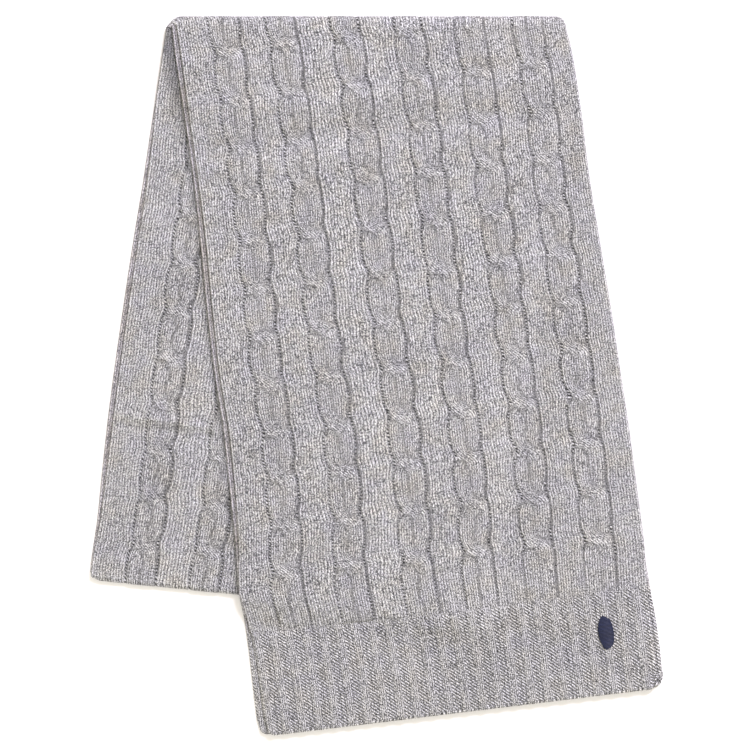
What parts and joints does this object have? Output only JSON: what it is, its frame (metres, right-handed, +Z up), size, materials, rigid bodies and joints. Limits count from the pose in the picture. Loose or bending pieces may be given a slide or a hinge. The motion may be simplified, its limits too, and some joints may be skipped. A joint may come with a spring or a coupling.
{
  "type": "folded cable knit scarf",
  "caption": "Long cable knit scarf with ribbed ends, doubled and folded over so that it lies flat in four layers.",
  "frame": {"origin": "on the surface it rests on, under the middle of the folded scarf's outline", "axes": "+Y from the rib hem up to the top fold, +X to the right seen from above, +Z up off the surface"},
  "size_m": [0.4084, 0.5136, 0.012],
  "materials": {
    "cable_knit": "soft heather grey wool, cable knit, matt with a light nap",
    "rib_knit": "soft heather grey wool, wide rib, matt with a light nap",
    "plain_knit": "soft heather grey wool, inner face of the knit, matt"
  },
  "bodies": {
    "root": {"front_panel": "cable_knit", "front_hem": "rib_knit", "under_hem": "rib_knit", "back_panel": "cable_knit", "inner_layers": "plain_knit"}
  },
  "joints": []
}
